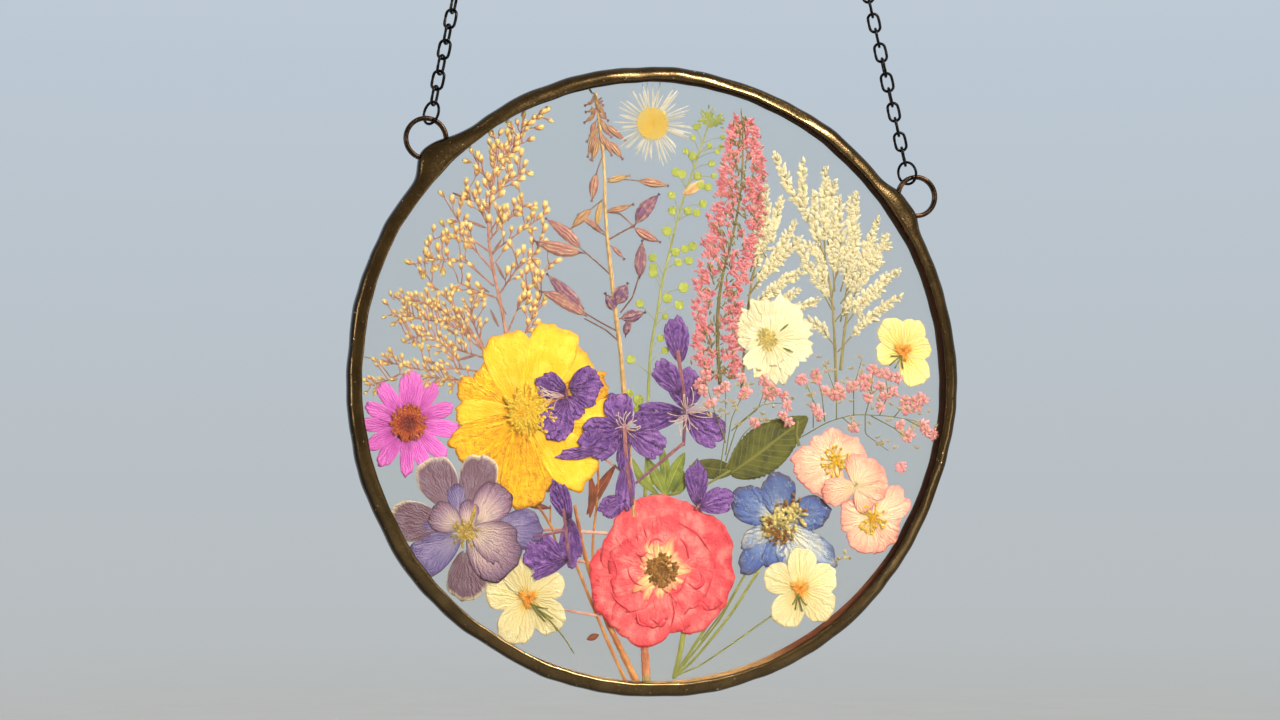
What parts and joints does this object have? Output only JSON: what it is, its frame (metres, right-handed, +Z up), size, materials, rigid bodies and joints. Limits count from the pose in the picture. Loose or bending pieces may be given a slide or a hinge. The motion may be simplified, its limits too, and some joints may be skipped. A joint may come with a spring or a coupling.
{
  "type": "pressed flower frame",
  "caption": "Round hanging double-glass panel with pressed dried flowers between the discs, a solder bead edge and two soldered rings on short chains.",
  "frame": {"origin": "midway between the hanging points of the two end rings, in the panel's middle plane", "axes": "+Z up as it hangs, the front of the panel faces -Y, +X to the viewer's right"},
  "size_m": [0.204, 0.0114, 0.2443],
  "materials": {
    "clear_glass": "polished clear glass",
    "copper_foil": "bright to reddish copper tape",
    "solder": "dark bronze patina with worn gold highlights, lumpy",
    "ring_bronze": "dark bronze, glossy",
    "chain_black": "black, glossy",
    "goldenrod": "matte dried petals and stems",
    "fireweed_spike": "matte dried petals and stems",
    "daisy": "matte dried petals and stems",
    "pepperweed_spike": "matte dried petals and stems",
    "veronica_spike": "matte dried petals and stems",
    "statice": "matte dried petals and stems",
    "white_flower": "matte dried petals and stems",
    "cream_viola": "matte dried petals and stems",
    "magenta_everlasting": "matte dried petals and stems",
    "yellow_cosmos": "matte dried petals and stems",
    "rose": "matte dried petals and stems",
    "lilac_larkspur": "matte dried petals and stems",
    "left_viola": "matte dried petals and stems",
    "right_viola": "matte dried petals and stems",
    "blue_delphinium": "matte dried petals and stems",
    "peach_blossom": "matte dried petals and stems",
    "purple_flower": "matte dried petals and stems",
    "gypsophila": "matte dried petals and stems",
    "green_leaf": "matte dried petals and stems",
    "middle_leaves": "matte dried petals and stems",
    "green_stems": "matte dried petals and stems",
    "brown_stems": "matte dried petals and stems"
  },
  "bodies": {
    "hanger": {"left_connecting_ring": "chain_black", "left_link_1": "chain_black", "left_link_2": "chain_black", "left_link_3": "chain_black", "left_link_4": "chain_black", "left_link_5": "chain_black", "left_link_6": "chain_black", "left_link_7": "chain_black", "left_end_ring": "chain_black", "right_connecting_ring": "chain_black", "right_link_1": "chain_black", "right_link_2": "chain_black", "right_link_3": "chain_black", "right_link_4": "chain_black", "right_link_5": "chain_black", "right_link_6": "chain_black", "right_link_7": "chain_black", "right_link_8": "chain_black", "right_link_9": "chain_black", "right_link_10": "chain_black", "right_link_11": "chain_black", "right_link_12": "chain_black", "right_end_ring": "chain_black"},
    "panel": {"front_glass": "clear_glass", "back_glass": "clear_glass", "copper_foil": "copper_foil", "solder_rim": "solder", "left_soldered_ring": "ring_bronze", "right_soldered_ring": "ring_bronze", "goldenrod_upper_spray": "goldenrod", "goldenrod_lower_spray": "goldenrod", "fireweed_spike": "fireweed_spike", "daisy": "daisy", "pepperweed_spike": "pepperweed_spike", "veronica_spike": "veronica_spike", "statice_right_plume": "statice", "statice_left_plume": "statice", "white_flower": "white_flower", "cream_viola": "cream_viola", "magenta_everlasting": "magenta_everlasting", "yellow_cosmos": "yellow_cosmos", "rose": "rose", "lilac_larkspur": "lilac_larkspur", "left_viola": "left_viola", "right_viola": "right_viola", "blue_delphinium": "blue_delphinium", "upper_peach_blossom": "peach_blossom", "side_peach_blossom": "peach_blossom", "lower_peach_blossom": "peach_blossom", "left_purple_flower": "purple_flower", "middle_purple_flower": "purple_flower", "right_purple_flower": "purple_flower", "lower_purple_flower": "purple_flower", "small_purple_flower": "purple_flower", "gypsophila_left_sprig": "gypsophila", "gypsophila_right_sprig": "gypsophila", "green_leaf": "green_leaf", "middle_leaves": "middle_leaves", "green_stems": "green_stems", "brown_stems": "brown_stems"}
  },
  "joints": [
    {"name": "panel_swing", "type": "hinge", "parent": "hanger", "child": "panel", "pos_m": [0.00346, 0, -0.06145], "axis": [0.9957, 0, -0.0924], "range_deg": [-30, 30]}
  ]
}
